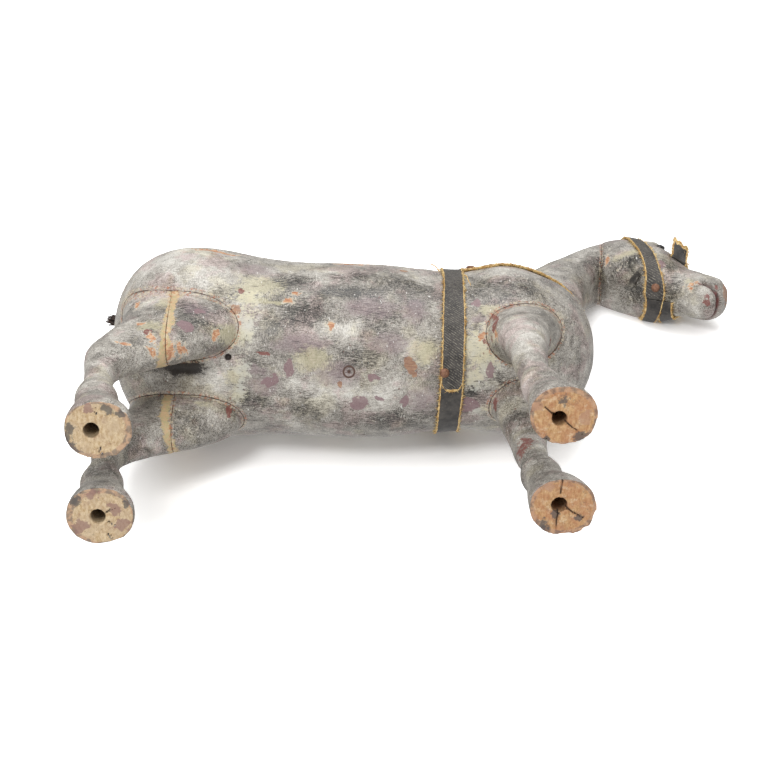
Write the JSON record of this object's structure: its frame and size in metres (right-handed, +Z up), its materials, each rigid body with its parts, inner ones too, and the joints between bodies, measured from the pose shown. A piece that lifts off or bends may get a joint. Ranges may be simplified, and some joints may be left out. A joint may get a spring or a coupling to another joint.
{
  "type": "carved wooden horse of a pull-along toy",
  "caption": "Carved, painted wooden horse with pieced legs, nailed leather girth, breast strap and bridle, and drilled hoof soles that sit on the pegs of a wheeled board.",
  "frame": {"origin": "on the plane of the hoof soles, at the centre of the pattern of four peg sockets", "axes": "+X towards the horse's head, +Y to the horse's left, +Z up from the soles"},
  "size_m": [0.4158, 0.1196, 0.3987],
  "materials": {
    "painted_wood": "pale grey paint, worn and chipped to ochre wood",
    "dowel_wood": "raw beech",
    "embossed_leather": "dark leather embossed with fine diagonal lines, raw tan edges",
    "plain_leather": "smooth dark leather, frayed tan edges",
    "tack_metal": "tarnished, copper brown",
    "horsehair": "coarse dark bristle",
    "eye_glass": "black glass"
  },
  "bodies": {
    "horse": {"trunk": "painted_wood", "neck": "painted_wood", "head": "painted_wood", "foreleg_right": "painted_wood", "foreleg_left": "painted_wood", "stifle_block_right": "painted_wood", "stifle_block_left": "painted_wood", "hind_leg_right": "painted_wood", "hind_leg_left": "painted_wood", "neck_dowel": "dowel_wood", "head_dowel": "dowel_wood", "foreleg_dowels": "dowel_wood", "hind_leg_dowels": "dowel_wood", "stifle_dowels": "dowel_wood", "girth_strap_right": "embossed_leather", "cheek_strap_right": "embossed_leather", "girth_strap_left": "plain_leather", "breast_strap": "plain_leather", "cheek_strap_left": "plain_leather", "noseband": "plain_leather", "ear_root_right": "plain_leather", "ear_root_left": "plain_leather", "belly_tack": "tack_metal", "spine_tacks": "tack_metal", "breast_tacks": "tack_metal", "jaw_tack": "tack_metal", "crown_tacks": "tack_metal", "tail_root": "horsehair", "eye_right": "eye_glass", "eye_left": "eye_glass"},
    "ear_right": {"ear_right": "plain_leather"},
    "ear_left": {"ear_left": "plain_leather"},
    "nose_flap": {"nose_flap": "plain_leather"},
    "tail": {"tail_tuft": "horsehair"}
  },
  "joints": [
    {"name": "ear_right_flex", "type": "hinge", "parent": "horse", "child": "ear_right", "pos_m": [0.21617, -0.00293, 0.3853], "axis": [-0.0342, 0.8893, 0.4561], "range_deg": [-20, 20]},
    {"name": "ear_left_flex", "type": "hinge", "parent": "horse", "child": "ear_left", "pos_m": [0.2154, 0.01706, 0.3853], "axis": [-0.0342, 0.8893, -0.4561], "range_deg": [-20, 20]},
    {"name": "nose_flap_flex", "type": "hinge", "parent": "horse", "child": "nose_flap", "pos_m": [0.23915, -0.01233, 0.338], "axis": [0.8004, 0.4954, -0.3377], "range_deg": [-30, 30]},
    {"name": "tail_swing", "type": "hinge", "parent": "horse", "child": "tail", "pos_m": [-0.1324, -0.00509, 0.2455], "axis": [-0.0384, 0.9993, 0], "range_deg": [-12, 12]}
  ]
}
